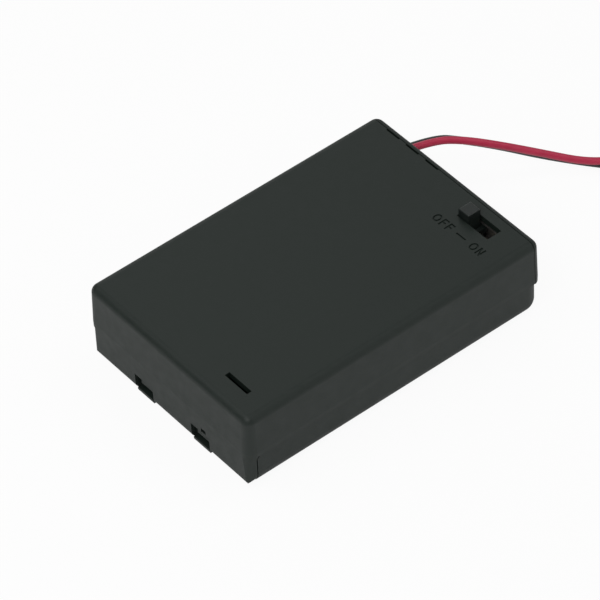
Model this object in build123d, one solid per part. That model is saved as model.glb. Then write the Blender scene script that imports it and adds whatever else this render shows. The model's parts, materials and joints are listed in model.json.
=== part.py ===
from build123d import *
import math
import os

# Enclosed holder for three AA cells side by side, wired in series, with a snap-on cover,
# a slide switch under a slot in the cover, and a red and a black lead out of the far end.
# Millimetres. +X runs along the cells towards the switch and the leads, +Y towards the
# lead hole, +Z up. The origin is the middle of the underside.

# Box
seam_height = 7.6
seam_gap = 0.15
side_inset = 0.35
top_edge_radius = 1.6
plan_corner_extra = 0.4
upper_draft = 0.25
bottom_edge_radius = 2.9
far_corner_extra = 0.2
near_foot_radius = 1.6
end_draft = 0.22
end_draft_rise = 1.1
overrun = 1.0
fit_gap = 0.2
touch_gap = 0.05

# Cells
cell_diameter = 14.5
cell_length = 50.5
cell_between_gap = 0.1
cell_side_gap = 0.15
cell_under_gap = 0.15
cell_over_gap = 0.35
spring_squeeze = 4.0

# Tray walls
floor_thickness = 1.2
tray_wall = 1.15
lip_thickness = 0.45
lip_height = 1.1
near_wall = 1.2
divider_wall = 1.2
far_wall = 1.6
switch_bay = 7.8
inner_wall_clearance = 0.3
saddle_thickness = 1.2
saddle_height = 3.0
saddle_spacing = 24.0
saddle_gap = 0.1
channel_rib = 0.8
channel_rib_height = 1.4
mark_size = 3.0
mark_stroke = 0.8
mark_cell_gap = 0.05
mark_inset = 4.5
ledge_depth = 0.8
ledge_height = 1.0
ledge_end_inset = 2.5

# Cover
plate_thickness = 1.4
skirt_thickness = 0.9
cover_end_wall = 2.0
cover_foot = 0.15
far_seam_gap = 0.15
jog_size = 1.0
cover_rib_thickness = 0.9
cover_rib_drop = 1.6
cover_rib_end_inset = 2.5
slit_length = 6.35
slit_width = 1.1
slit_inset = 5.35
slit_offset = 14.5
seam_notch_depth = 0.3
seam_notch_length = 3.6
seam_notch_pitch = 5.6
seam_notch_middle_y = 11.2

# Finger notches of the cover and the tray's teeth in them
notch_width = 5.3
notch_top = 4.35
notch_left_y = 7.65
notch_right_y = -8.9
nick_width = 1.4
nick_height = 1.1
nick_offset = 1.1
tooth_width = 4.1
tooth_offset = 0.35
tooth_reach = 1.35
tooth_low = 1.7
tooth_ramp = 0.5
tooth_top_gap = 0.6
toe_height = 0.6
toe_reach = 1.75

# Contacts
plate_gauge = 0.35
contact_rise = 4.0
contact_side_gap = 1.05
contact_foot_gap = 0.25
bump_base_radius = 3.0
bump_top_radius = 2.1
bump_height = 0.8
clip_reach = 0.7
clip_arm = 0.7
clip_outside = 0.8
ear_width = 1.5
ear_height = 2.2
tongue_width = 2.8
tongue_reach = 1.7
tongue_drop = 1.0
spring_wire = 0.7
spring_turns = 4.5
spring_flat_turns = 0.65
spring_length = 7.6
spring_base_inset = 1.5
spring_tip_radius = 3.0

# Switch
switch_inset = 5.5
slot_width = 3.4
slot_length = 8.6
knob_width = 2.95
knob_length = 2.8
knob_proud = 1.75
knob_edge = 0.25
knob_end_gap = 0.2
can_width = 5.6
can_height = 4.5
can_gauge = 0.3
can_top_gap = 0.5
can_slot_gap = 0.3
can_corner = 0.5
ear_wall_gap = 0.675
ear_length = 3.4
ear_hole_radius = 1.1
ear_corner = 1.0
slider_width = 4.6
slider_length = 4.6
slider_thickness = 1.4
switch_board = 1.2
pad_gauge = 0.3
pad_width = 3.6
end_pad_length = 1.5
middle_pad_overlap = 0.475
board_rim = 0.075
pin_width = 0.9
pin_gauge = 0.4
pin_reach = 3.0
wiper_width = 2.4
wiper_gauge = 0.25
wiper_span = 4.0
wiper_flat = 2.4
wiper_lift = 0.5
wiper_toe = 0.35
post_size = 4.0
stake_radius = 1.0
stake_head_radius = 1.7
stake_head_height = 0.7

# Label on the cover
letter_height = 2.0
letter_stroke = 0.34
letter_depth = 0.25
letter_gap = 0.42
round_letter_width = 1.6
bar_letter_width = 1.25
label_beside_slot = 5.8
off_before_middle = 7.0
dash_before_middle = 0.8
dash_length = 2.5
on_after_middle = 3.2

# Leads
wire_diameter = 1.5
core_diameter = 0.5
solder_radius = 0.95
lead_hole_inset = 4.9
lead_hole_z = 10.2
lead_hole_radius = 1.65
lead_lean_y = 0.66
lead_lean_z = 0.42
guide_fin = 0.8
guide_fin_gap = 0.35
guide_fin_reach = 1.8
guide_fin_rise = 2.0
wire_notch_width = 2.0
wire_notch_height = 2.0
coil_radius = 9.7
coil_turns = 1.75
coil_pitch = 1.55
coil_play = 0.15
tip_length = 5.0
tip_diameter = 0.75
tip_turn_in = 30.0
rest_gap = 0.02

# Places worked out from the sizes above
cell_pitch = cell_diameter + cell_between_gap
bay_length = plate_gauge + spring_squeeze + cell_length + bump_height + plate_gauge
box_length = cover_end_wall + fit_gap + near_wall + bay_length + divider_wall + switch_bay + far_wall
box_width = 2 * (cell_pitch + cell_diameter / 2 + cell_side_gap + tray_wall + side_inset)
box_height = floor_thickness + cell_under_gap + cell_diameter + cell_over_gap + plate_thickness
half_length = box_length / 2
half_width = box_width / 2
end_draft_top = seam_height + end_draft_rise
plan_corner = top_edge_radius + plan_corner_extra
far_plan_corner = bottom_edge_radius + far_corner_extra
contact_half_width = cell_diameter / 2 - contact_side_gap
spring_base_radius = contact_half_width - spring_base_inset
near_face_x = -half_length
tray_start_x = near_face_x + cover_end_wall + fit_gap
near_wall_x = tray_start_x + near_wall
far_wall_x = half_length - far_wall
cover_end_x = far_wall_x - far_seam_gap
tray_half_width = half_width - side_inset
inner_half_width = tray_half_width - tray_wall
skirt_inside_y = half_width - skirt_thickness
plate_under_z = box_height - plate_thickness
inner_wall_top = plate_under_z - inner_wall_clearance
cell_centre_z = floor_thickness + cell_under_gap + cell_diameter / 2
mark_height = cell_under_gap - mark_cell_gap
cell_y = [cell_pitch, 0.0, -cell_pitch]
contact_height = cell_centre_z + contact_rise
tongue_height = contact_height - tongue_drop
divider_x = near_wall_x + bay_length
divider_end_x = divider_x + divider_wall
valley_y = -cell_pitch / 2
slit_centre_x = near_face_x + slit_inset
slit_centre_y = -slit_offset
switch_x = half_length - switch_inset
switch_travel = slot_length - 2 * knob_end_gap - knob_length
board_length = switch_travel + wiper_span + end_pad_length + 2 * board_rim
can_length = board_length + 2 * can_gauge
middle_pad_length = switch_travel - wiper_span + 2 * middle_pad_overlap
slot_centre_y = -(inner_half_width - ear_wall_gap - ear_length - can_length / 2)
label_x = switch_x - label_beside_slot
off_start_y = slot_centre_y + off_before_middle
dash_start_y = slot_centre_y + dash_before_middle
on_start_y = slot_centre_y - on_after_middle
lead_hole_y = half_width - lead_hole_inset
rim_z = seam_height
lip_top_z = seam_height + lip_height
can_top_z = plate_under_z - can_top_gap
can_bottom_z = can_top_z - can_height
stake_y = can_length / 2 + ear_length / 2
wire_radius = wire_diameter / 2
pin_end_z = can_bottom_z - pin_reach
knob_y = slot_centre_y + slot_length / 2 - knob_end_gap - knob_length / 2
pad_y = {
    "off": knob_y + wiper_span / 2,
    "common": slot_centre_y,
    "on": knob_y - switch_travel - wiper_span / 2,
}
red_hole = (lead_hole_y - lead_lean_y, lead_hole_z + lead_lean_z)
black_hole = (lead_hole_y + lead_lean_y, lead_hole_z - lead_lean_z)


def block(x_span, y_span, z_span):
    """A box between two corners given as three spans."""
    size = [high - low for low, high in (x_span, y_span, z_span)]
    middle = [(high + low) / 2 for low, high in (x_span, y_span, z_span)]
    return Pos(*middle) * Box(*size)


def both_sides(span):
    """The same span on the +Y and the -Y side."""
    low, high = span
    return [(low, high), (-high, -low)]


def end_view_prism(width, low, high, bottom_radius):
    """The YZ outline with its bottom corners rounded, run along the whole box."""
    outline = Pos(0, (low + high) / 2) * Rectangle(width, high - low)
    outline = fillet(outline.vertices().group_by(Axis.Y)[0], bottom_radius)
    return extrude(Plane.YZ * outline, amount=box_length, both=True)


def long_view_prism(low):
    """The XZ outline below the seam: both ends drawn in slightly, the near foot rounded."""
    corners = [
        (-half_length + end_draft, low),
        (half_length - end_draft, low),
        (half_length, end_draft_top),
        (-half_length, end_draft_top),
    ]
    outline = make_face(Polyline(*corners, close=True))
    outline = fillet(outline.vertices().sort_by(Axis.X).group_by(Axis.Y)[0][0], near_foot_radius)
    return extrude(Plane.XZ * outline, amount=box_width, both=True)


def plan_prism(width):
    """The XY outline with rounded corners."""
    return extrude(RectangleRounded(box_length, width, plan_corner), amount=box_height + overrun)


def drafted_block(rise, draft_angle):
    """The box's plan run up or down from its widest level, drawn in by the angle."""
    level = Plane(origin=(0, 0, end_draft_top), z_dir=(0, 0, math.copysign(1, rise)))
    outline = level * RectangleRounded(box_length, box_width, plan_corner)
    return extrude(outline, amount=abs(rise), taper=draft_angle)


def upper_form():
    """Outer form above the seam, shared by the cover and the tray's far wall."""
    top_rise = box_height - end_draft_top
    top = drafted_block(top_rise, math.degrees(math.atan(upper_draft / top_rise)))
    top = fillet(top.edges().group_by(Axis.Z)[-1], top_edge_radius)
    return top + drafted_block(-end_draft_rise, math.degrees(math.atan(end_draft / end_draft_top)))


def far_rounding(low):
    """The tray's outline with its far corners and its foot rounded to one radius."""
    middle_x = half_length - box_length
    level = Plane(origin=(middle_x, 0, low))
    outline = level * RectangleRounded(2 * box_length, 2 * tray_half_width, far_plan_corner)
    form = extrude(outline, amount=box_height)
    return fillet(form.edges().group_by(Axis.Z)[0], bottom_edge_radius)


def lower_form(low):
    """Outer form below the seam, set back on both long sides."""
    width = 2 * tray_half_width
    form = end_view_prism(width, low, seam_height, bottom_edge_radius)
    return form & long_view_prism(low) & plan_prism(width) & far_rounding(low)


def everything(x_span, z_span=(-overrun, box_height + overrun)):
    """A slab across the whole width, for cutting the outer forms."""
    return block(x_span, (-box_width, box_width), z_span)


def jog_prism(size, start_x, top_z, y_span):
    """The small 45 degree corner under the skirt beside the cover's end wall."""
    corners = [(start_x, top_z), (start_x + size, top_z), (start_x, top_z - size)]
    face = make_face(Polyline(*corners, close=True))
    low, high = y_span
    return extrude(Plane.XZ.offset(-high) * face, amount=high - low)


def notch_span(centre_y, width):
    return (centre_y - width / 2, centre_y + width / 2)


def stroke_face(width, parts):
    """Bars of one letter, each given as shares of the letter's width and height."""
    face = None
    for left, low, right, high in parts:
        bar = Pos((left + right) / 2 * width, (low + high) / 2 * letter_height)
        bar *= Rectangle((right - left) * width, (high - low) * letter_height)
        face = bar if face is None else face + bar
    return face


def letter_o(width):
    outer = Ellipse(width / 2, letter_height / 2)
    inner = Ellipse(width / 2 - letter_stroke, letter_height / 2 - letter_stroke)
    return Pos(width / 2, letter_height / 2) * (outer - inner)


def letter_f(width):
    across = letter_stroke / width
    up = letter_stroke / letter_height
    middle_share = 0.5
    arm_share = 0.85
    parts = [
        (0, 0, across, 1),
        (0, 1 - up, 1, 1),
        (0, middle_share - up / 2, arm_share, middle_share + up / 2),
    ]
    return stroke_face(width, parts)


def letter_n(width):
    across = letter_stroke / width
    face = stroke_face(width, [(0, 0, across, 1), (1 - across, 0, 1, 1)])
    slant = [
        (0, letter_height),
        (letter_stroke, letter_height),
        (width, 0),
        (width - letter_stroke, 0),
    ]
    return face + make_face(Polyline(*slant, close=True))


def label_cutters():
    """OFF, a dash and ON, read towards -Y with the letters' tops towards +X."""
    words = [
        (off_start_y, [letter_o, letter_f, letter_f]),
        (on_start_y, [letter_o, letter_n]),
    ]
    cutters = []
    floor_z = box_height - letter_depth
    for start_y, letters in words:
        along = 0.0
        for letter in letters:
            width = round_letter_width if letter is letter_o else bar_letter_width
            plane = Plane(origin=(label_x, start_y - along, floor_z), x_dir=(0, -1, 0), z_dir=(0, 0, 1))
            cutters.append(extrude(plane * letter(width), amount=letter_depth + overrun))
            along += width + letter_gap
    dash_middle_x = label_x + letter_height / 2
    dash = block(
        (dash_middle_x - letter_stroke / 2, dash_middle_x + letter_stroke / 2),
        (dash_start_y - dash_length, dash_start_y),
        (floor_z, box_height + overrun),
    )
    return cutters + [dash]


def make_cover():
    upper = upper_form() & everything((-box_length, cover_end_x), (seam_height, box_height + overrun))
    inside = block(
        (near_face_x + cover_end_wall, box_length),
        (-skirt_inside_y, skirt_inside_y),
        (-overrun, plate_under_z),
    )
    gap = block(
        (near_face_x + cover_end_wall, box_length),
        (-box_width, box_width),
        (-overrun, seam_height + seam_gap),
    )
    end_wall = lower_form(cover_foot) & everything((-box_length, near_face_x + cover_end_wall))
    cover = upper - inside - gap + end_wall
    jog_top = seam_height + seam_gap + touch_gap
    for span in both_sides((skirt_inside_y, tray_half_width)):
        cover += jog_prism(jog_size, near_face_x + cover_end_wall, jog_top, span)
    rib_x = (near_wall_x + cover_rib_end_inset, divider_x - cover_rib_end_inset)
    for middle in (-cell_pitch / 2, cell_pitch / 2):
        rib_y = notch_span(middle, cover_rib_thickness)
        cover += block(rib_x, rib_y, (plate_under_z - cover_rib_drop, plate_under_z))
    through_plate = (plate_under_z - overrun, box_height + overrun)
    slit_y = (slit_centre_y - slit_length / 2, slit_centre_y + slit_length / 2)
    slit_x = (slit_centre_x - slit_width / 2, slit_centre_x + slit_width / 2)
    cover -= block(slit_x, slit_y, through_plate)
    slot_y = (slot_centre_y - slot_length / 2, slot_centre_y + slot_length / 2)
    slot_x = (switch_x - slot_width / 2, switch_x + slot_width / 2)
    cover -= block(slot_x, slot_y, through_plate)
    for step in (-1, 0, 1):
        middle = seam_notch_middle_y + step * seam_notch_pitch
        span = notch_span(middle, seam_notch_length)
        cover -= block((cover_end_x - seam_notch_depth, box_length), span, through_plate)
    for centre in (notch_left_y, notch_right_y):
        span = notch_span(centre, notch_width)
        cover -= everything_in_notch(span, notch_top)
    nick = notch_span(notch_right_y - nick_offset, nick_width)
    cover -= everything_in_notch(nick, notch_top + nick_height)
    for cutter in label_cutters():
        cover -= cutter
    return cover


def everything_in_notch(y_span, top_z):
    """A cut through the cover's end wall, open at its foot."""
    return block((near_face_x - overrun, near_face_x + cover_end_wall + overrun), y_span, (-overrun, top_z))


def tooth(centre_y):
    """The tray's ramped tooth in a finger notch of the cover, and the toe under it."""
    face_x = tray_start_x
    top_z = notch_top - tooth_top_gap
    corners = [
        (face_x, top_z),
        (face_x - tooth_reach, top_z - tooth_ramp),
        (face_x - tooth_reach, tooth_low + tooth_ramp),
        (face_x, tooth_low),
    ]
    middle_y = centre_y - tooth_offset
    face = make_face(Polyline(*corners, close=True))
    ramp = extrude(Plane.XZ.offset(-middle_y) * face, amount=tooth_width / 2, both=True)
    toe_x = (face_x - toe_reach, near_wall_x)
    toe_y = notch_span(centre_y, notch_width - 2 * fit_gap)
    return ramp + block(toe_x, toe_y, (cover_foot, cover_foot + toe_height))


def wall_across(x_span):
    """A wall across the tray that rises inside the cover's skirts."""
    inside_y = skirt_inside_y - fit_gap
    low = block(x_span, (-inner_half_width - touch_gap, inner_half_width + touch_gap), (0, rim_z))
    high = block(x_span, (-inside_y, inside_y), (seam_height, inner_wall_top))
    return (low & lower_form(0)) + high


def contact_clip(wall_x, direction, edge_y, outward):
    """A grooved rib on an end wall that holds one edge of a contact plate."""
    x_far = wall_x + direction * (plate_gauge + touch_gap + clip_arm)
    x_span = tuple(sorted((wall_x, x_far)))
    y_span = tuple(sorted((edge_y - outward * clip_reach, edge_y + outward * clip_outside)))
    z_span = (floor_thickness, contact_height)
    rib = block(x_span, y_span, z_span)
    groove_x = tuple(sorted((wall_x, wall_x + direction * (plate_gauge + touch_gap))))
    groove_y = tuple(sorted((edge_y - outward * clip_outside, edge_y + outward * touch_gap)))
    return rib - block(groove_x, groove_y, (z_span[0] - overrun, z_span[1] + overrun))


def saddles():
    """Two cross ribs scooped out for the cells."""
    ribs = None
    for side in (-1, 1):
        middle_x = (near_wall_x + divider_x) / 2 + side * saddle_spacing / 2
        x_span = (middle_x - saddle_thickness / 2, middle_x + saddle_thickness / 2)
        rib = block(x_span, (-inner_half_width, inner_half_width), (0, floor_thickness + saddle_height))
        ribs = rib if ribs is None else ribs + rib
    for y in cell_y:
        scoop = Cylinder(cell_diameter / 2 + saddle_gap, box_length)
        ribs -= Pos(0, y, cell_centre_z) * Rot(0, 90, 0) * scoop
    wire_way = notch_span(valley_y, wire_notch_width)
    ribs -= block((-box_length, box_length), wire_way, (floor_thickness, box_height))
    return ribs & lower_form(0)


def polarity_marks():
    """A raised plus and minus on the floor at each cell's ends."""
    marks = None
    z_span = (floor_thickness - touch_gap, floor_thickness + mark_height)
    ends = (near_wall_x + spring_length + mark_inset, divider_x - mark_inset - mark_size)
    for index, y in enumerate(cell_y):
        plus_x = ends[1] if index % 2 == 0 else ends[0]
        minus_x = ends[0] if index % 2 == 0 else ends[1]
        for x in (plus_x, minus_x):
            bar = block((x - mark_stroke / 2, x + mark_stroke / 2), (y - mark_size / 2, y + mark_size / 2), z_span)
            marks = bar if marks is None else marks + bar
        along = (plus_x - mark_size / 2, plus_x + mark_size / 2)
        marks += block(along, (y - mark_stroke / 2, y + mark_stroke / 2), z_span)
    return marks


def switch_posts():
    """Two posts with staked heads that carry and hold the switch."""
    posts = None
    for side in (-1, 1):
        y = slot_centre_y + side * stake_y
        y_span = (y - post_size / 2, y + post_size / 2)
        x_span = (switch_x - post_size / 2, switch_x + post_size / 2)
        post = block(x_span, y_span, (floor_thickness - touch_gap, can_bottom_z))
        pin_top = can_bottom_z + can_gauge + stake_head_height
        pin_middle = (can_bottom_z + pin_top) / 2
        post += Pos(switch_x, y, pin_middle) * Cylinder(stake_radius, pin_top - can_bottom_z)
        head_middle = can_bottom_z + can_gauge + stake_head_height / 2
        head = Cylinder(stake_head_radius, stake_head_height)
        head = fillet(head.edges().group_by(Axis.Z)[-1], stake_head_height / 2)
        post += Pos(switch_x, y, head_middle) * head
        posts = post if posts is None else posts + post
    return posts


def make_tray():
    outer = lower_form(0) & everything((tray_start_x, box_length))
    inner_z = (floor_thickness, box_height)
    cavity = end_view_prism(
        2 * inner_half_width, inner_z[0], inner_z[1], bottom_edge_radius - tray_wall
    )
    tray = outer - (cavity & everything((near_wall_x, far_wall_x)))
    for span in both_sides((inner_half_width, inner_half_width + lip_thickness)):
        tray += block((near_wall_x, far_wall_x), span, (rim_z - overrun, lip_top_z))
    far_upper = upper_form() & everything((far_wall_x, box_length), (seam_height, box_height + overrun))
    tray += far_upper
    tray += wall_across((tray_start_x, near_wall_x))
    tray += wall_across((divider_x, divider_end_x))
    ledge_half = inner_half_width - ledge_end_inset
    ledge_top = plate_under_z - touch_gap * 2
    tray += block(
        (far_wall_x - ledge_depth, far_wall_x + touch_gap),
        (-ledge_half, ledge_half),
        (ledge_top - ledge_height, ledge_top),
    )
    tray += saddles()
    tray += polarity_marks()
    for side in (-1, 1):
        edge = valley_y + side * (wire_notch_width / 2 + channel_rib / 2)
        rib_y = (edge - channel_rib / 2, edge + channel_rib / 2)
        rib_z = (floor_thickness - touch_gap, floor_thickness + channel_rib_height)
        tray += block((near_wall_x + spring_length, divider_x - spring_length), rib_y, rib_z)
    for y_low, y_high in near_plate_spans():
        for edge, outward in ((y_low, -1), (y_high, 1)):
            tray += contact_clip(near_wall_x, 1, edge, outward)
    for y_low, y_high in far_plate_spans():
        for edge, outward in ((y_low, -1), (y_high, 1)):
            tray += contact_clip(divider_x, -1, edge, outward)
    between_plates = (near_plate_spans()[1][1], near_plate_spans()[0][0])
    ear_way_z = (floor_thickness, floor_thickness + contact_foot_gap + ear_height + fit_gap)
    ear_way_x = (near_wall_x, near_wall_x + plate_gauge + touch_gap + clip_arm + overrun)
    tray -= block(ear_way_x, between_plates, ear_way_z)
    tray += switch_posts()
    for centre in (notch_left_y, notch_right_y):
        tray += tooth(centre)
    for side in (-1, 1):
        fin_inside = lead_hole_y + side * (lead_hole_radius + guide_fin_gap)
        fin_y = tuple(sorted((fin_inside, fin_inside + side * guide_fin)))
        fin_x = (far_wall_x - guide_fin_reach, far_wall_x + touch_gap)
        tray += block(fin_x, fin_y, (floor_thickness - touch_gap, lead_hole_z + guide_fin_rise))
    for span in both_sides((inner_half_width + lip_thickness, box_width)):
        tray -= jog_prism(jog_size + fit_gap, tray_start_x - fit_gap, seam_height + seam_gap, span)
    hole = Cylinder(lead_hole_radius, far_wall * 2)
    tray -= Pos(half_length, lead_hole_y, lead_hole_z) * Rot(0, 90, 0) * hole
    tray -= wire_way_block()
    tray -= tongue_block(fit_gap)
    return tray


def wire_way_block():
    """The way of the return wire through the foot of the divider and of its contact plate."""
    x_span = (divider_x - overrun, divider_end_x + overrun)
    z_span = (floor_thickness, floor_thickness + wire_notch_height)
    return block(x_span, notch_span(valley_y, wire_notch_width), z_span)


def near_plate_spans():
    """Y spans of the two contact plates at the cover's end-wall end."""
    first, second, third = cell_y
    return [
        (second - contact_half_width, first + contact_half_width),
        (third - contact_half_width, third + contact_half_width),
    ]


def far_plate_spans():
    """Y spans of the two contact plates on the divider."""
    first, second, third = cell_y
    return [
        (first - contact_half_width, first + contact_half_width),
        (third - contact_half_width, second + contact_half_width),
    ]


def contact_plate(wall_x, direction, y_span, bump_y):
    """A strip plate against a wall, pressed out into a hollow button at bump_y."""
    x_span = tuple(sorted((wall_x, wall_x + direction * plate_gauge)))
    z_span = (floor_thickness + contact_foot_gap, contact_height)
    plate = block(x_span, y_span, z_span)
    if bump_y is None:
        return plate
    turn = Rot(0, 90 * direction, 0)
    outer = Cone(bump_base_radius, bump_top_radius, bump_height)
    inner = Cone(bump_base_radius - plate_gauge, bump_top_radius - plate_gauge, bump_height)
    face_x = wall_x + direction * plate_gauge
    plate += Pos(face_x + direction * bump_height / 2, bump_y, cell_centre_z) * turn * outer
    plate -= Pos(wall_x + direction * bump_height / 2, bump_y, cell_centre_z) * turn * inner
    return plate


def tongue_block(clearance):
    """The far single plate's tongue, which passes back through the divider."""
    middle_y = cell_y[0]
    x_span = (divider_x - plate_gauge, divider_end_x + tongue_reach)
    if clearance:
        x_span = (divider_x, divider_end_x + overrun)
    y_span = notch_span(middle_y, tongue_width + 2 * clearance)
    z_span = (tongue_height - clearance, tongue_height + plate_gauge + clearance)
    return block(x_span, y_span, z_span)


def make_near_single_contact():
    """Plate under the third cell's spring, with an ear for the return wire."""
    y_span = near_plate_spans()[1]
    plate = contact_plate(near_wall_x, 1, y_span, None)
    ear_y = (y_span[1], y_span[1] + ear_width)
    ear_z = (floor_thickness + contact_foot_gap, floor_thickness + contact_foot_gap + ear_height)
    return plate + block((near_wall_x, near_wall_x + plate_gauge), ear_y, ear_z)


def make_far_single_contact():
    return contact_plate(divider_x, -1, far_plate_spans()[0], cell_y[0]) + tongue_block(0)


def turn_at(before, corner, after):
    """Half the turn of a route at a corner, in radians, and the shorter run beside it."""
    first = Vector(*corner) - Vector(*before)
    second = Vector(*after) - Vector(*corner)
    return math.radians(first.get_angle(second)) / 2, min(first.length, second.length)


def corner_radii(points):
    """The radius of the arc at each corner of a route, as large as its two runs allow."""
    run_share = 0.45
    radii = []
    for before, corner, after in zip(points, points[1:], points[2:]):
        half_turn, shorter = turn_at(before, corner, after)
        radii.append(run_share * shorter / math.tan(half_turn))
    return radii


def spring_route():
    """Twelve corners to a turn of a narrowing spring whose first and last coils lie flat."""
    corners_per_turn = 12
    rising_turns = spring_turns - 2 * spring_flat_turns
    points = []
    for step in range(round(spring_turns * corners_per_turn) + 1):
        turn = step / corners_per_turn
        narrowed_share = turn / spring_turns
        radius = spring_base_radius + (spring_tip_radius - spring_base_radius) * narrowed_share
        risen_share = min(max((turn - spring_flat_turns) / rising_turns, 0), 1)
        angle = math.radians(360 * turn)
        height = risen_share * (spring_length - spring_wire)
        points.append((radius * math.cos(angle), radius * math.sin(angle), height))
    return points


def coil_spring(wall_x, direction, y):
    """A conical compression spring standing on its contact plate."""
    points = spring_route()
    path = FilletPolyline(*points, radius=corner_radii(points))
    section = Plane(origin=path @ 0, z_dir=path % 0) * Circle(spring_wire / 2)
    start_x = wall_x + direction * (plate_gauge + spring_wire / 2)
    return Pos(start_x, y, cell_centre_z) * Rot(0, 90 * direction, 0) * sweep(section, path=path)


def make_switch_can():
    """Folded steel shell with two ears and a slot for the knob."""
    centre = Pos(switch_x, slot_centre_y, 0)
    outer = Pos(0, 0, can_bottom_z + can_height / 2) * Box(can_width, can_length, can_height)
    outer = fillet(outer.edges().filter_by(Axis.Y).group_by(Axis.Z)[-1], can_corner)
    inner_height = can_height - can_gauge
    inner = Box(can_width - 2 * can_gauge, can_length - 2 * can_gauge, inner_height)
    shell = outer - Pos(0, 0, can_bottom_z + inner_height / 2) * inner
    for side in (-1, 1):
        ear_y = side * (can_length / 2 + ear_length / 2 - can_gauge / 2)
        ear = Pos(0, ear_y, can_bottom_z + can_gauge / 2) * Box(can_width, ear_length + can_gauge, can_gauge)
        ear = fillet(ear.edges().filter_by(Axis.Z).group_by(Axis.Y)[-1 if side > 0 else 0], ear_corner)
        shell += ear
        shell -= Pos(0, side * stake_y, can_bottom_z) * Cylinder(ear_hole_radius, can_height)
    slot_long = slot_length + 2 * can_slot_gap
    shell -= Pos(0, 0, can_top_z) * Box(knob_width + 2 * can_slot_gap, slot_long, 2 * (can_gauge + touch_gap))
    return centre * shell


def terminal_parts(name):
    """Pad on top of the board and pin down through it."""
    length = middle_pad_length if name == "common" else end_pad_length
    y = pad_y[name]
    pad_z = (can_bottom_z + switch_board, can_bottom_z + switch_board + pad_gauge)
    pad = block(notch_span(switch_x, pad_width), notch_span(y, length), pad_z)
    pin = block(notch_span(switch_x, pin_width), notch_span(y, pin_gauge), (pin_end_z, pad_z[0]))
    return pad + pin


def make_switch_board():
    """Laminate board that closes the can from below and carries the terminals."""
    x_span = notch_span(switch_x, can_width - 2 * can_gauge)
    y_span = notch_span(slot_centre_y, board_length)
    board = block(x_span, y_span, (can_bottom_z, can_bottom_z + switch_board))
    for name in pad_y:
        board -= terminal_parts(name)
    return board


def wiper_top_z():
    return can_bottom_z + switch_board + pad_gauge + touch_gap + wiper_lift + wiper_gauge


def make_switch_knob():
    """Slider inside the can with the knob that stands through the cover."""
    low = wiper_top_z()
    top = box_height + knob_proud
    flange_z = (low, low + slider_thickness)
    flange = block(notch_span(switch_x, slider_width), notch_span(knob_y, slider_length), flange_z)
    stem = block(notch_span(switch_x, knob_width), notch_span(knob_y, knob_length), (low, top))
    stem = fillet(stem.edges().group_by(Axis.Z)[-1], knob_edge)
    return flange + stem


def make_switch_wiper():
    """Springy strip under the slider with a rounded foot towards each end."""
    base_z = can_bottom_z + switch_board + pad_gauge + touch_gap
    half_flat = wiper_flat / 2
    half_span = wiper_span / 2
    under = [
        (-half_span - wiper_toe, base_z + wiper_lift / 2),
        (-half_span, base_z),
        (-half_flat, base_z + wiper_lift),
        (half_flat, base_z + wiper_lift),
        (half_span, base_z),
        (half_span + wiper_toe, base_z + wiper_lift / 2),
    ]
    over = [(y, z + wiper_gauge) for y, z in reversed(under)]
    strip = make_face(Polyline(*under, *over, close=True))
    strip = extrude(Plane.YZ * strip, amount=wiper_width / 2, both=True)
    return Pos(switch_x, knob_y, 0) * strip


def route_wire(points, name):
    radii = corner_radii(points)
    print(name, "radii", [round(radius, 1) for radius in radii])
    return FilletPolyline(*points, radius=radii)


def tube(path, diameter):
    section = Plane(origin=path @ 0, z_dir=path % 0) * Circle(diameter / 2)
    solid = sweep(section, path=path)
    section_area = math.pi * diameter ** 2 / 4
    print("  length", round(path.length, 2), "volume share", round(solid.volume / section_area / path.length, 4))
    return solid


# Routes inside the box, from the solder joint onwards
wire_floor_z = floor_thickness + wire_radius + touch_gap
joint_gap = core_diameter
return_start_x = near_wall_x + plate_gauge + joint_gap
under_switch_z = floor_thickness + wire_diameter * 2
behind_posts_x = (switch_x + post_size / 2 + far_wall_x) / 2
return_route = [
    (return_start_x, valley_y, wire_floor_z),
    (divider_end_x + wire_diameter, valley_y, wire_floor_z),
    (switch_x, valley_y - wire_diameter * 2, wire_floor_z + wire_radius),
    (switch_x, pad_y["common"], under_switch_z + wire_diameter),
    (switch_x, pad_y["common"], pin_end_z - joint_gap),
]
tongue_end_x = divider_end_x + tongue_reach
red_inside_route = [
    (tongue_end_x + joint_gap + core_diameter / 2, cell_y[0], tongue_height + plate_gauge / 2),
    (far_wall_x - wire_diameter * 2, red_hole[0], red_hole[1]),
    (half_length, red_hole[0], red_hole[1]),
]
black_inside_route = [
    (switch_x, pad_y["on"], pin_end_z - joint_gap),
    (switch_x, pad_y["on"], under_switch_z + wire_radius),
    (behind_posts_x, pad_y["on"] + wire_diameter * 2, under_switch_z),
    (behind_posts_x, lead_hole_y - wire_diameter * 6, under_switch_z),
    (switch_x, lead_hole_y - wire_diameter, under_switch_z + wire_diameter),
    (switch_x - wire_radius, black_hole[0], black_hole[1]),
    (half_length, black_hole[0], black_hole[1]),
]

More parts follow.
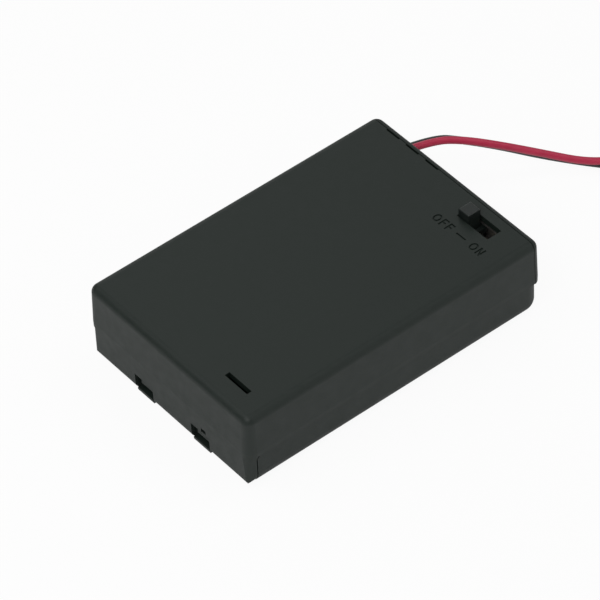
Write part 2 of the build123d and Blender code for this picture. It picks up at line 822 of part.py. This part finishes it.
# Routes outside, chosen by hand: straight out of the hole, down under gravity, then along
# the surface, the red lead resting on the black one, to the coil that holds the rest
coil_x = 80.5
coil_y = -10.4
coil_start_x = coil_x - coil_radius
black_low_z = wire_radius + rest_gap
red_low_z = black_low_z + wire_diameter + rest_gap
red_route = [
    (half_length, red_hole[0], red_hole[1]),
    (42.3, 16.2, 10.67),
    (47.3, 13.0, 9.92),
    (52.7, 8.7, 8.2),
    (59.5, 4.4, 4.9),
    (65.8, -0.9, 2.4),
    (coil_start_x, -4.6, red_low_z),
    (coil_start_x, coil_y, red_low_z),
]
black_route = [
    (half_length, black_hole[0], black_hole[1]),
    (43.4, 17.5, 9.8),
    (48.0, 13.8, 8.8),
    (53.5, 9.6, 6.8),
    (60.2, 5.2, 3.3),
    (66.8, 0.2, 0.85),
    (coil_start_x, -4.6, black_low_z),
    (coil_start_x, coil_y, black_low_z),
]


def coil_end_radius():
    return coil_radius - coil_turns * coil_pitch


def coil_ring(low_z):
    """Outer shape of one flat coil, its turns side by side with a little play."""
    height = wire_diameter + rest_gap
    outer = Cylinder(coil_radius + wire_radius + coil_play, height)
    inner = Cylinder(coil_end_radius() - wire_radius, height)
    return Pos(coil_x, coil_y, low_z + wire_radius) * (outer - inner)


def lead_tip(centre_z, ring):
    """Stripped and tinned end, turned inwards from the coil's last turn."""
    angle = math.radians(180 + 360 * coil_turns)
    start_radius = coil_end_radius() - wire_radius
    start = (coil_x + start_radius * math.cos(angle), coil_y + start_radius * math.sin(angle), centre_z)
    heading = angle + math.radians(90 + tip_turn_in)
    plane = Plane(origin=start, z_dir=(math.cos(heading), math.sin(heading), 0))
    return extrude(plane * Circle(tip_diameter / 2), amount=tip_length) - ring


def solder_dome(middle, radius, *cutters):
    """A bead of solder around a joint, cut back to the metal and wire it wets."""
    dome = Pos(*middle) * Sphere(radius)
    for cutter in cutters:
        dome -= cutter
    return dome


def stripped_end(route):
    """The bare core between a wire's cut insulation and its joint."""
    start = Vector(*route[0])
    away = (start - Vector(*route[1])).normalized()
    plane = Plane(origin=tuple(start), z_dir=tuple(away))
    return extrude(plane * Circle(core_diameter / 2), amount=joint_gap)


def make_parts():
    parts = {"tray": make_tray(), "cover": make_cover()}
    near_bridge, near_single = near_plate_spans()
    far_bridge = far_plate_spans()[1]
    parts["near_bridge_contact"] = contact_plate(near_wall_x, 1, near_bridge, cell_y[1])
    parts["near_single_contact"] = make_near_single_contact()
    parts["far_bridge_contact"] = contact_plate(divider_x, -1, far_bridge, cell_y[2]) - wire_way_block()
    parts["far_single_contact"] = make_far_single_contact()
    parts["cell_1_spring"] = coil_spring(near_wall_x, 1, cell_y[0])
    parts["cell_2_spring"] = coil_spring(divider_x, -1, cell_y[1])
    parts["cell_3_spring"] = coil_spring(near_wall_x, 1, cell_y[2])
    parts["switch_can"] = make_switch_can()
    parts["switch_board"] = make_switch_board()
    for name in pad_y:
        parts["switch_" + name + "_terminal"] = terminal_parts(name)
    parts["switch_knob"] = make_switch_knob()
    parts["switch_wiper"] = make_switch_wiper()
    inside = {
        "return_wire": return_route,
        "red_inner_wire": red_inside_route,
        "black_inner_wire": black_inside_route,
    }
    joints = []
    metal = {
        "return_wire": "near_single_contact",
        "red_inner_wire": "far_single_contact",
        "black_inner_wire": "switch_on_terminal",
    }
    for name, route in inside.items():
        insulation = tube(route_wire(route, name), wire_diameter)
        parts[name] = insulation + stripped_end(route)
        middle = Vector(*route[0]) + (Vector(*route[0]) - Vector(*route[1])).normalized() * joint_gap
        joints.append(solder_dome(tuple(middle), solder_radius, parts[name], parts[metal[name]], parts["tray"]))
    end_route = list(reversed(return_route))
    parts["return_wire"] += stripped_end(end_route)
    end_middle = (switch_x, pad_y["common"], pin_end_z)
    joints.append(solder_dome(end_middle, solder_radius, parts["return_wire"], parts["switch_common_terminal"]))
    parts["solder_joints"] = Compound(joints)
    red_ring = coil_ring(red_low_z - wire_radius)
    black_ring = coil_ring(black_low_z - wire_radius)
    red_tube = tube(route_wire(red_route, "red_lead"), wire_diameter)
    black_tube = tube(route_wire(black_route, "black_lead"), wire_diameter)
    parts["red_lead"] = red_tube - red_ring - parts["red_inner_wire"]
    parts["black_lead"] = black_tube - black_ring - parts["black_inner_wire"]
    parts["red_lead_coil"] = red_ring
    parts["black_lead_coil"] = black_ring
    parts["red_lead_tip"] = lead_tip(red_low_z, red_ring)
    parts["black_lead_tip"] = lead_tip(black_low_z, black_ring)
    return parts


os.makedirs("parts", exist_ok=True)
for part_name, shape in make_parts().items():
    solids = shape.solids()
    whole = solids[0] if len(solids) == 1 else Compound(solids)
    whole.label = part_name
    export_step(whole, f"parts/{part_name}.step")
    print(part_name, len(solids), "solids", round(sum(solid.volume for solid in solids), 1), "mm3")
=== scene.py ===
"""Looks of an enclosed holder for three AA cells: black moulded box, slide switch, two flying leads.

Metres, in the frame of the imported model: +X runs along the cells towards the switch and the
leads, +Y towards the lead hole, +Z up, with the origin in the middle of the underside.
"""
import json
import math

import bpy
import numpy as np
from mathutils import Matrix, Vector


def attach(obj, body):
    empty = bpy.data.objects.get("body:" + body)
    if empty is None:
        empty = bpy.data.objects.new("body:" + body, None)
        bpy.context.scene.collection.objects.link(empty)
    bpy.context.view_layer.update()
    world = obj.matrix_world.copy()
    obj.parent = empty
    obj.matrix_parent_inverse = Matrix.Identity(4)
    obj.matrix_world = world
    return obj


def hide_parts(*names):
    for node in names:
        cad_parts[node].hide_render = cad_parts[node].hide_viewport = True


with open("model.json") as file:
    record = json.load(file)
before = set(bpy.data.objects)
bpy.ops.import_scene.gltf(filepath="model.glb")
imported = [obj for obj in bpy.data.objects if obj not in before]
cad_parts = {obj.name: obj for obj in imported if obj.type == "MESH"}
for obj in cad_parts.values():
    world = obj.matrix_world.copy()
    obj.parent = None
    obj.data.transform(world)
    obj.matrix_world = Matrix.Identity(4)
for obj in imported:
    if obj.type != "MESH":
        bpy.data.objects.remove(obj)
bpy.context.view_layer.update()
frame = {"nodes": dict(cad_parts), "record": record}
nodes = frame["nodes"]
MM = 0.001

# The photograph's view, solved from the box's edges: 600 x 600 pixels
PHOTO_SIDE_PX = 600
VIEW_YAW_DEG = -37.34
VIEW_ELEVATION_DEG = 45.17
VIEW_ROLL_DEG = -2.93
FOCAL_LENGTH_PX = 4629.0
CAMERA_DISTANCE = 855.1 * MM
AIM_POINT = Vector((0.0, 0.0, 9.64 * MM))
AIM_PIXEL = (315.8, 293.7)
SENSOR_WIDTH_MM = 36.0

# Leads: their thickness, points of the stretch along the surface, the coil that holds the rest,
# and the inward end
WIRE_DIAMETER = 1.5 * MM
COIL_CENTRE_MM = (80.5, -10.4)
COIL_RADIUS_MM = 9.7
COIL_TURNS = 1.65
COIL_PITCH_MM = 1.55
COIL_POINTS_PER_TURN = 20
RED_HEIGHT_MM = 2.29
BLACK_HEIGHT_MM = 0.77
RED_ROUTE_MM = [
    (35.0, 17.94, 10.62), (42.3, 16.2, 10.67), (47.3, 13.0, 9.92), (52.7, 8.7, 8.2),
    (59.5, 4.4, 4.9), (65.8, -0.9, 2.4), (70.8, -4.6, 2.29), (70.8, -10.4, 2.29),
]
BLACK_ROUTE_MM = [
    (35.0, 19.26, 9.78), (43.4, 17.5, 9.8), (48.0, 13.8, 8.8), (53.5, 9.6, 6.8),
    (60.2, 5.2, 3.3), (66.8, 0.2, 0.85), (70.8, -4.6, 0.77), (70.8, -10.4, 0.77),
]
INWARD_END_MM = [(82.72, -3.62), (81.15, -3.79), (80.5, -4.1625)]

# Lead ends: stripped, twisted and tinned
TIP_START_MM = (80.5, -4.1625)
TIP_HEADING_DEG = 210.0
TIP_LENGTH = 5.0 * MM
TIP_DIAMETER = 0.75 * MM
TIP_STRANDS = 6
TIP_TWISTS = 1.6
TIP_POINT_SHARE = 0.1
TIP_STEPS = 70
TIP_SIDES = 48

# Springs: CAD node, x of the plate they stand on, way they point, y of their axis
SPRINGS_MM = [
    ("cell_1_spring", -31.25, 1, 14.6),
    ("cell_2_spring", 24.05, -1, 0.0),
    ("cell_3_spring", -31.25, 1, -14.6),
]
SPRING_AXIS_HEIGHT_MM = 8.6
SPRING_BASE_RADIUS_MM = 4.54
SPRING_TIP_RADIUS_MM = 2.9
SPRING_WIRE_MM = 0.7
SPRING_LENGTH_MM = 7.6
SPRING_TURNS = 4.5
SPRING_FLAT_TURNS = 0.65
SPRING_STEPS_PER_TURN = 56
SPRING_SIDES = 18

# Finishes
GRAIN_WIDTH = 0.24 * MM
MOTTLE_WIDTH = 2.2 * MM

# Light: soft boxes by the direction they stand in and their elevation in degrees, then their
# distance and side in metres and their watts
SOFT_BOXES = [
    ("left_front_high", 210, 50, 1.75, 0.875, 9.3),
    ("right_front_low", 300, 28, 1.75, 0.875, 3.1),
    ("right_front_high", 345, 60, 1.75, 0.875, 4.0),
    ("right_back_low", 60, 28, 1.75, 0.875, 3.3),
    ("left_back_near", 150, 62, 0.25, 0.15, 0.11),
]
SURROUND_LEVEL = 0.2
FLOOR_GLOW_SEEN = 0.93
FLOOR_GLOW_REFLECTED = 0.3
FLOOR_HALF_SIDE = 3.0
FLOOR_DROP = 0.01 * MM


def linear_colour(hex_code):
    """The linear RGBA of an sRGB colour written as six hex digits."""
    levels = [int(hex_code[i:i + 2], 16) / 255 for i in (1, 3, 5)]
    return tuple(c / 12.92 if c <= 0.04045 else ((c + 0.055) / 1.055) ** 2.4 for c in levels) + (1.0,)


def add_node(tree, kind, inputs=None, **settings):
    """Adds a node, sets its properties, and fills or links the inputs named or numbered."""
    made = tree.nodes.new(kind)
    for name, value in settings.items():
        setattr(made, name, value)
    for key, value in (inputs or {}).items():
        if isinstance(value, bpy.types.NodeSocket):
            tree.links.new(value, made.inputs[key])
        else:
            made.inputs[key].default_value = value
    return made


def start_material(name, **shader_values):
    """A material with a Principled shader; returns it, its tree, the shader and object coordinates."""
    material = bpy.data.materials.new(name)
    material.use_nodes = True
    tree = material.node_tree
    shader = next(n for n in tree.nodes if n.type == "BSDF_PRINCIPLED")
    for key, value in shader_values.items():
        shader.inputs[key.replace("_", " ")].default_value = value
    place = add_node(tree, "ShaderNodeTexCoord").outputs["Object"]
    return material, tree, shader, place


def two_tones(tree, place, shader, low_hex, high_hex, width, detail=3.0):
    """Slow change of the base colour between two close tones, as patches of the given width."""
    patches = add_node(tree, "ShaderNodeTexNoise", {"Vector": place, "Scale": 1 / width, "Detail": detail})
    ramp = add_node(tree, "ShaderNodeValToRGB", {"Fac": patches.outputs["Fac"]})
    ramp.color_ramp.elements[0].position = 0.35
    ramp.color_ramp.elements[0].color = linear_colour(low_hex)
    ramp.color_ramp.elements[1].position = 0.65
    ramp.color_ramp.elements[1].color = linear_colour(high_hex)
    tree.links.new(ramp.outputs["Color"], shader.inputs["Base Color"])
    return patches


def rough_range(tree, shader, source, low, high):
    """Roughness that runs from low to high with a pattern's value."""
    span = add_node(tree, "ShaderNodeMapRange", {"Value": source, "From Min": 0.3, "From Max": 0.7,
                                                 "To Min": low, "To Max": high})
    tree.links.new(span.outputs["Result"], shader.inputs["Roughness"])


def bump(tree, shader, height, depth, strength=1.0):
    """Relief of the given depth in metres."""
    relief = add_node(tree, "ShaderNodeBump", {"Height": height, "Distance": depth, "Strength": strength})
    tree.links.new(relief.outputs["Normal"], shader.inputs["Normal"])


def moulded_abs():
    """Black ABS moulded against a spark-eroded tool: a fine even grain that breaks up highlights.
    The real grain is about 0.1 mm; it is drawn at 0.24 mm so that a pixel can show it."""
    material, tree, shader, place = start_material(
        "spark_textured_black_abs", IOR=1.53, Specular_IOR_Level=0.4)
    patches = two_tones(tree, place, shader, "#141f1a", "#18221d", MOTTLE_WIDTH)
    grain = add_node(tree, "ShaderNodeTexNoise", {"Vector": place, "Scale": 1 / GRAIN_WIDTH, "Detail": 2.0})
    rough_range(tree, shader, patches.outputs["Fac"], 0.5, 0.58)
    bump(tree, shader, grain.outputs["Fac"], 0.02 * MM)
    return material


def satin_nylon():
    """Black nylon of the knob, moulded in a plain tool: finer and a touch glossier than the box."""
    material, tree, shader, place = start_material("satin_black_nylon", IOR=1.53)
    patches = two_tones(tree, place, shader, "#131b18", "#18201d", 1.2 * MM)
    rough_range(tree, shader, patches.outputs["Fac"], 0.42, 0.5)
    grain = add_node(tree, "ShaderNodeTexNoise", {"Vector": place, "Scale": 1 / (0.15 * MM), "Detail": 2.0})
    bump(tree, shader, grain.outputs["Fac"], 0.008 * MM)
    return material


def nickel_strip():
    """Nickel-plated spring strip, cold rolled: pale warm metal with faint lines along the roll."""
    material, tree, shader, place = start_material("nickel_plated_rolled_strip", Metallic=1.0)
    two_tones(tree, place, shader, "#cfcdc8", "#dcdad6", 3 * MM)
    lines = add_node(tree, "ShaderNodeMapping", {"Vector": place, "Scale": (1.0, 0.05, 1.0)})
    roll = add_node(tree, "ShaderNodeTexNoise",
                    {"Vector": lines.outputs["Vector"], "Scale": 1 / (0.12 * MM), "Detail": 3.0})
    rough_range(tree, shader, roll.outputs["Fac"], 0.34, 0.48)
    bump(tree, shader, roll.outputs["Fac"], 0.004 * MM)
    return material


def spring_wire():
    """Nickel-plated music wire, drawn: bright and smooth with a few duller patches."""
    material, tree, shader, place = start_material("nickel_plated_drawn_wire", Metallic=1.0)
    patches = two_tones(tree, place, shader, "#c9c6bf", "#dad8d2", 1.5 * MM)
    rough_range(tree, shader, patches.outputs["Fac"], 0.24, 0.34)
    return material


def silvered_brass():
    """Silver-plated brass of the switch's pads, stamped: soft white metal, slightly tarnished."""
    material, tree, shader, place = start_material("silver_plated_stamped_brass", Metallic=1.0)
    patches = two_tones(tree, place, shader, "#9a9386", "#b8b2a6", 0.8 * MM)
    rough_range(tree, shader, patches.outputs["Fac"], 0.24, 0.4)
    return material


def paper_laminate():
    """Punched paper-phenolic board: black, faintly fibrous, with a satin resin face."""
    material, tree, shader, place = start_material("punched_phenolic_paper_laminate", IOR=1.55)
    fibre = add_node(tree, "ShaderNodeMapping", {"Vector": place, "Scale": (1.0, 0.25, 1.0)})
    patches = two_tones(tree, fibre.outputs["Vector"], shader, "#131211", "#1b1917", 0.6 * MM, 6.0)
    rough_range(tree, shader, patches.outputs["Fac"], 0.45, 0.6)
    return material


def soft_pvc(name, low_hex, high_hex):
    """Extruded PVC insulation: even colour, satin, with a faint waviness from the extruder."""
    material, tree, shader, place = start_material(name, IOR=1.54)
    patches = two_tones(tree, place, shader, low_hex, high_hex, 4 * MM)
    rough_range(tree, shader, patches.outputs["Fac"], 0.36, 0.46)
    wave = add_node(tree, "ShaderNodeTexNoise", {"Vector": place, "Scale": 1 / (0.5 * MM), "Detail": 2.0})
    bump(tree, shader, wave.outputs["Fac"], 0.01 * MM)
    return material


def tin_solder():
    """Solder that has set round a joint: bright, slightly rippled tin."""
    material, tree, shader, place = start_material("set_tin_solder", Metallic=1.0)
    patches = two_tones(tree, place, shader, "#b4b6b6", "#cfd0ce", 0.7 * MM)
    rough_range(tree, shader, patches.outputs["Fac"], 0.18, 0.36)
    bump(tree, shader, patches.outputs["Fac"], 0.02 * MM)
    return material


def tinned_strands():
    """Copper strands wetted with tin: pale metal with a trace of copper in scattered patches."""
    material, tree, shader, place = start_material("tinned_copper_strands", Metallic=1.0)
    patches = two_tones(tree, place, shader, "#c3b8aa", "#d5d2cc", 0.5 * MM)
    rough_range(tree, shader, patches.outputs["Fac"], 0.22, 0.38)
    return material


def stage_white(name):
    """Plain white that shows the camera, and less so a reflection, part of its own light, so that
    it reads white, while the rest is lit and keeps the object's shadow."""
    material = bpy.data.materials.new(name)
    material.use_nodes = True
    tree = material.node_tree
    tree.nodes.clear()
    rays = add_node(tree, "ShaderNodeLightPath").outputs
    mirrored = add_node(tree, "ShaderNodeMath",
                        {0: rays["Is Glossy Ray"], 1: rays["Is Transmission Ray"]}, operation="MAXIMUM")
    reflected = add_node(tree, "ShaderNodeMath",
                         {0: mirrored.outputs[0], 1: FLOOR_GLOW_REFLECTED}, operation="MULTIPLY")
    seen = add_node(tree, "ShaderNodeMath",
                    {0: rays["Is Camera Ray"], 1: FLOOR_GLOW_SEEN}, operation="MULTIPLY")
    share = add_node(tree, "ShaderNodeMath",
                     {0: reflected.outputs[0], 1: seen.outputs[0]}, operation="MAXIMUM")
    paint = add_node(tree, "ShaderNodeBsdfDiffuse", {"Color": linear_colour("#fbfbfb")})
    glow = add_node(tree, "ShaderNodeEmission", {"Color": (1, 1, 1, 1), "Strength": 1.0})
    mix = add_node(tree, "ShaderNodeMixShader",
                   {0: share.outputs[0], 1: paint.outputs[0], 2: glow.outputs[0]})
    add_node(tree, "ShaderNodeOutputMaterial", {"Surface": mix.outputs[0]})
    return material


def piece_from_grid(name, grid, material, body):
    """A closed skin from a grid of points: each row is a ring, and flat faces close both ends."""
    rows, columns = grid.shape[:2]
    index = np.arange(rows * columns).reshape(rows, columns)
    beside = np.roll(index, -1, axis=1)
    quads = np.stack([index[:-1], beside[:-1], beside[1:], index[1:]], axis=-1).reshape(-1, 4)
    faces = quads.tolist() + [index[0, ::-1].tolist(), index[-1].tolist()]
    mesh = bpy.data.meshes.new(name)
    mesh.from_pydata(grid.reshape(-1, 3).tolist(), [], faces)
    mesh.polygons.foreach_set("use_smooth", [True] * len(quads) + [False, False])
    mesh.materials.append(material)
    piece = bpy.data.objects.new(name, mesh)
    bpy.context.scene.collection.objects.link(piece)
    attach(piece, body)
    return piece


def coil_points(height_mm):
    """Corners of the coil's turns: a circle about the coil's middle that narrows by one pitch a
    turn, each corner set out a little so that the smooth line between them has the true radius."""
    step = 2 * math.pi / COIL_POINTS_PER_TURN
    count = round(COIL_TURNS * COIL_POINTS_PER_TURN)
    points = []
    for k in range(1, count + 1):
        angle = math.pi + k * step
        radius = (COIL_RADIUS_MM - COIL_PITCH_MM * k / COIL_POINTS_PER_TURN) / math.cos(step / 2)
        points.append((COIL_CENTRE_MM[0] + radius * math.cos(angle),
                       COIL_CENTRE_MM[1] + radius * math.sin(angle), height_mm))
    return points


def lead_line(name, route_mm, height_mm, material):
    """One lead's insulation: a smooth spline through its route, its coil and its inward end."""
    points = route_mm + coil_points(height_mm) + [(x, y, height_mm) for x, y in INWARD_END_MM]
    curve = bpy.data.curves.new(name, "CURVE")
    curve.dimensions = "3D"
    spline = curve.splines.new("NURBS")
    spline.points.add(len(points) - 1)
    for point, place in zip(spline.points, points):
        point.co = (*[v * MM for v in place], 1.0)
    spline.order_u = 3
    spline.use_endpoint_u = True
    spline.resolution_u = 10
    curve.bevel_depth = WIRE_DIAMETER / 2
    curve.bevel_resolution = 6
    curve.use_fill_caps = True
    curve.materials.append(material)
    line = bpy.data.objects.new(name, curve)
    bpy.context.scene.collection.objects.link(line)
    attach(line, "holder")
    return line


def strand_tip(name, node, height_mm, material):
    """A twisted, tinned end: a rod along the heading whose radius swells and dips once for each
    strand round it, the ridges winding along it, drawn in to a rounded point."""
    along = np.linspace(0, 1, TIP_STEPS)[:, None]
    around = np.linspace(0, 2 * math.pi, TIP_SIDES, endpoint=False)[None, :]
    near_point = np.clip((along - (1 - TIP_POINT_SHARE)) / TIP_POINT_SHARE, 0, 1)
    taper = np.sqrt(np.clip(1 - near_point ** 2, 0.02, 1))
    ridge = 1 + 0.09 * np.abs(np.cos(TIP_STRANDS / 2 * (around - 2 * math.pi * TIP_TWISTS * along))) - 0.06
    radius = TIP_DIAMETER / 2 * ridge * taper
    heading = math.radians(TIP_HEADING_DEG)
    forward = np.array([math.cos(heading), math.sin(heading), 0.0])
    aside = np.array([-math.sin(heading), math.cos(heading), 0.0])
    start = np.array([TIP_START_MM[0], TIP_START_MM[1], height_mm]) * MM
    centre = start + forward * (along * TIP_LENGTH)[..., None]
    grid = centre + radius[..., None] * (np.cos(around)[..., None] * aside
                                         + np.sin(around)[..., None] * np.array([0.0, 0.0, 1.0]))
    tip = piece_from_grid(name, grid, material, "holder")
    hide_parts(node)
    return tip


def wound_spring(node, plate_x_mm, way, y_mm, material):
    """A wound spring as a round tube along a narrowing helix: the radius falls evenly from base to
    tip over all the turns, and the height rises evenly between a flat first and last stretch."""
    turn = np.linspace(0, SPRING_TURNS, round(SPRING_TURNS * SPRING_STEPS_PER_TURN) + 1)
    around = np.linspace(0, 2 * math.pi, SPRING_SIDES, endpoint=False)[None, :, None]
    radius = SPRING_BASE_RADIUS_MM + (SPRING_TIP_RADIUS_MM - SPRING_BASE_RADIUS_MM) * turn / SPRING_TURNS
    risen = np.clip((turn - SPRING_FLAT_TURNS) / (SPRING_TURNS - 2 * SPRING_FLAT_TURNS), 0, 1)
    lift = SPRING_WIRE_MM / 2 + risen * (SPRING_LENGTH_MM - SPRING_WIRE_MM)
    across, down = np.sin(2 * math.pi * turn), -way * np.cos(2 * math.pi * turn)
    outward = np.stack([np.zeros_like(turn), across, down], axis=-1)
    centre = np.array([plate_x_mm, y_mm, SPRING_AXIS_HEIGHT_MM]) + radius[:, None] * outward
    centre[:, 0] += way * lift
    forward = np.gradient(centre, axis=0)
    aside = np.cross(forward / np.linalg.norm(forward, axis=1, keepdims=True), outward)
    ring = np.cos(around) * outward[:, None] + np.sin(around) * aside[:, None]
    grid = (centre[:, None] + SPRING_WIRE_MM / 2 * ring) * MM
    spring = piece_from_grid(f"{node}_wire", grid, material, "holder")
    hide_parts(node)


def cord_length(line):
    """Length of a curve's own centreline, from its points without the bevel."""
    plain = line.copy()
    plain.data = line.data.copy()
    plain.data.bevel_depth = 0
    mesh = bpy.data.meshes.new_from_object(plain)
    place = np.zeros(len(mesh.vertices) * 3)
    mesh.vertices.foreach_get("co", place)
    bpy.data.objects.remove(plain)
    return float(np.linalg.norm(np.diff(place.reshape(-1, 3), axis=0), axis=1).sum())


def make_leads(red, black, tin):
    """Both leads, from the hole along the surface to the coil, with their tinned ends."""
    for colour, route, height, material in (
        ("red", RED_ROUTE_MM, RED_HEIGHT_MM, red),
        ("black", BLACK_ROUTE_MM, BLACK_HEIGHT_MM, black),
    ):
        line = lead_line(f"{colour}_lead_wire", route, height, material)
        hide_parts(f"{colour}_lead", f"{colour}_lead_coil")
        tip = strand_tip(f"{colour}_lead_strands", f"{colour}_lead_tip", height, tin)
        print(colour, "lead", round(cord_length(line) / MM, 1), "mm")


def dress_nodes():
    """Gives each CAD node the finish of its material slot."""
    finishes = {
        "box_plastic": moulded_abs(),
        "knob_plastic": satin_nylon(),
        "plated_strip": nickel_strip(),
        "plated_spring_wire": spring_wire(),
        "plated_brass": silvered_brass(),
        "laminate_board": paper_laminate(),
        "red_insulation": soft_pvc("extruded_red_pvc", "#b81f45", "#c2274c"),
        "black_insulation": soft_pvc("extruded_black_pvc", "#1b1d1d", "#212323"),
        "solder": tin_solder(),
        "tinned_copper": tinned_strands(),
    }
    for row in frame["record"]["subparts"]:
        piece = nodes[row["node"]]
        piece.data.materials.clear()
        piece.data.materials.append(finishes[row["material_slot"]])
    return finishes


def make_stage():
    """A plain white floor under the object."""
    side = FLOOR_HALF_SIDE
    mesh = bpy.data.meshes.new("floor")
    corners = [(-side, -side, 0), (side, -side, 0), (side, side, 0), (-side, side, 0)]
    mesh.from_pydata([(x, y, z - FLOOR_DROP) for x, y, z in corners], [], [(0, 1, 2, 3)])
    mesh.materials.append(stage_white("white_table"))
    floor = bpy.data.objects.new("floor", mesh)
    bpy.context.scene.collection.objects.link(floor)


def soft_light(name, place, size, watts, target=(0, 0, 0.008)):
    """A square soft box that faces the object."""
    lamp = bpy.data.lights.new(name, "AREA")
    lamp.shape = "SQUARE"
    lamp.size = size
    lamp.energy = watts
    holder = bpy.data.objects.new(name, lamp)
    holder.location = place
    holder.rotation_euler = (Vector(target) - Vector(place)).to_track_quat("-Z", "Y").to_euler()
    bpy.context.scene.collection.objects.link(holder)


def make_lights():
    """Soft boxes round the object, and an even pale surround that the camera sees as white."""
    for name, azimuth, rise, distance, side, watts in SOFT_BOXES:
        turn, lift = math.radians(azimuth), math.radians(rise)
        place = Vector((math.cos(turn) * math.cos(lift), math.sin(turn) * math.cos(lift), math.sin(lift)))
        soft_light(name, place * distance, side, watts)
    world = bpy.data.worlds.new("pale_surround")
    world.use_nodes = True
    tree = world.node_tree
    tree.nodes.clear()
    rays = add_node(tree, "ShaderNodeLightPath").outputs
    surround = add_node(tree, "ShaderNodeBackground", {"Color": (1, 1, 1, 1), "Strength": SURROUND_LEVEL})
    seen = add_node(tree, "ShaderNodeBackground", {"Color": (1, 1, 1, 1), "Strength": 1.0})
    mix = add_node(tree, "ShaderNodeMixShader",
                   {0: rays["Is Camera Ray"], 1: surround.outputs[0], 2: seen.outputs[0]})
    add_node(tree, "ShaderNodeOutputWorld", {"Surface": mix.outputs[0]})
    bpy.context.scene.world = world


def make_camera():
    """The photograph's camera: its yaw, elevation and roll about the aim point, which it keeps at
    the photograph's pixel."""
    yaw, rise, roll = (math.radians(v) for v in (VIEW_YAW_DEG, VIEW_ELEVATION_DEG, VIEW_ROLL_DEG))
    back = Vector((math.sin(yaw) * math.cos(rise), -math.cos(yaw) * math.cos(rise), math.sin(rise)))
    level_right = Vector((math.cos(yaw), math.sin(yaw), 0))
    level_up = back.cross(level_right)
    right = math.cos(roll) * level_right + math.sin(roll) * level_up
    up = -math.sin(roll) * level_right + math.cos(roll) * level_up
    per_pixel = CAMERA_DISTANCE / FOCAL_LENGTH_PX
    aside = (AIM_PIXEL[0] - PHOTO_SIDE_PX / 2) * per_pixel
    above = -(AIM_PIXEL[1] - PHOTO_SIDE_PX / 2) * per_pixel
    data = bpy.data.cameras.new("photo_camera")
    data.sensor_width = SENSOR_WIDTH_MM
    data.lens = FOCAL_LENGTH_PX / PHOTO_SIDE_PX * SENSOR_WIDTH_MM
    data.clip_start = 0.05
    data.clip_end = 20.0
    camera = bpy.data.objects.new("photo_camera", data)
    turn = Matrix((right, up, back)).transposed().to_4x4()
    place = AIM_POINT + back * CAMERA_DISTANCE - right * aside - up * above
    camera.matrix_world = Matrix.Translation(place) @ turn
    bpy.context.scene.collection.objects.link(camera)
    bpy.context.scene.camera = camera


finishes = dress_nodes()
make_camera()
for spring_row in SPRINGS_MM:
    wound_spring(*spring_row, finishes["plated_spring_wire"])
make_leads(finishes["red_insulation"], finishes["black_insulation"], finishes["tinned_copper"])
make_stage()
make_lights()
bpy.context.scene.view_settings.view_transform = "Standard"
